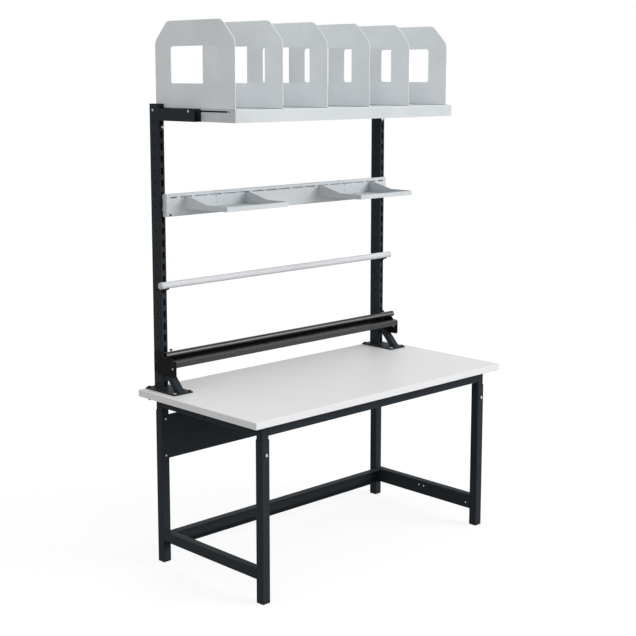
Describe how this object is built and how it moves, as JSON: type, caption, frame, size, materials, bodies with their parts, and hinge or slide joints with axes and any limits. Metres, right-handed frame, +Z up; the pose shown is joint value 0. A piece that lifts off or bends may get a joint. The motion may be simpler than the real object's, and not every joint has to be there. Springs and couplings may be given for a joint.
{
  "type": "packing workbench",
  "caption": "Height-adjustable packing workbench with perforated uprights, divided top shelf, hanging trays, roll spindle and paper cutter bar.",
  "frame": {"origin": "on the floor, under the centre of the tabletop", "axes": "+Z up, +X along the bench's length to the user's right, the front with the user's side looks to -Y"},
  "size_m": [1.5, 0.75, 2.2963],
  "materials": {
    "anthracite": "satin powder coat",
    "light_grey": "satin powder coat",
    "pale_tube": "smooth satin",
    "black_paint": "satin",
    "black_steel": "gloss",
    "rail_grey": "satin",
    "black_plastic": "matte",
    "grey_plastic": "matte",
    "laminate": "fine-textured laminate on chipboard",
    "zinc": "zinc plated"
  },
  "bodies": {
    "base": {"leg_front_left": "anthracite", "leg_front_right": "anthracite", "leg_rear_left": "anthracite", "leg_rear_right": "anthracite", "foot_front_left": "black_plastic", "foot_front_right": "black_plastic", "foot_rear_left": "black_plastic", "foot_rear_right": "black_plastic", "side_rail_left": "anthracite", "side_rail_right": "anthracite", "stringer": "anthracite", "rear_panel": "anthracite", "leg_lock_screw_front_left": "zinc", "leg_lock_screw_front_right": "zinc", "leg_lock_screw_rear_left": "zinc", "leg_lock_screw_rear_right": "zinc"},
    "top": {"inner_leg_front_left": "anthracite", "inner_leg_front_right": "anthracite", "inner_leg_rear_left": "anthracite", "inner_leg_rear_right": "anthracite", "end_beam_left": "anthracite", "end_beam_right": "anthracite", "front_apron": "anthracite", "rear_beam": "anthracite", "tabletop": "laminate", "base_plate_left": "anthracite", "base_plate_right": "anthracite", "upright_left": "anthracite", "upright_right": "anthracite", "upright_cap_left": "black_plastic", "upright_cap_right": "black_plastic", "brace_left": "anthracite", "brace_right": "anthracite", "shelf_arm_left": "anthracite", "shelf_arm_right": "anthracite", "arm_bolt_left": "zinc", "arm_bolt_right": "zinc", "shelf_bolt_left": "zinc", "shelf_bolt_right": "zinc", "tray_rail": "light_grey", "tray_left": "light_grey", "tray_right": "light_grey", "spindle_cradle_left": "anthracite", "spindle_cradle_right": "anthracite", "cutter_plate_left": "black_paint", "cutter_plate_right": "black_paint", "cutting_rail": "rail_grey", "cutter_trough": "black_paint"},
    "shelf": {"shelf": "light_grey", "divider_1": "light_grey", "divider_2": "light_grey", "divider_3": "light_grey", "divider_4": "light_grey", "divider_5": "light_grey", "divider_6": "light_grey"},
    "spindle": {"spindle_tube": "pale_tube", "spindle_cap_left": "grey_plastic", "spindle_cap_right": "grey_plastic"},
    "roller": {"pressure_bar": "black_steel"}
  },
  "joints": [
    {"name": "height_adjust", "type": "slide", "parent": "base", "child": "top", "axis": [0, 0, 1], "range_m": [0, 0.2]},
    {"name": "shelf_depth", "type": "slide", "parent": "top", "child": "shelf", "axis": [0, 1, 0], "range_m": [-0.009, 0.194]},
    {"name": "spindle_spin", "type": "hinge", "parent": "top", "child": "spindle", "pos_m": [0, 0.276, 1.214], "axis": [1, 0, 0], "continuous": true},
    {"name": "roller_spin", "type": "hinge", "parent": "top", "child": "roller", "pos_m": [0, 0.252, 0.923], "axis": [1, 0, 0], "continuous": true}
  ]
}
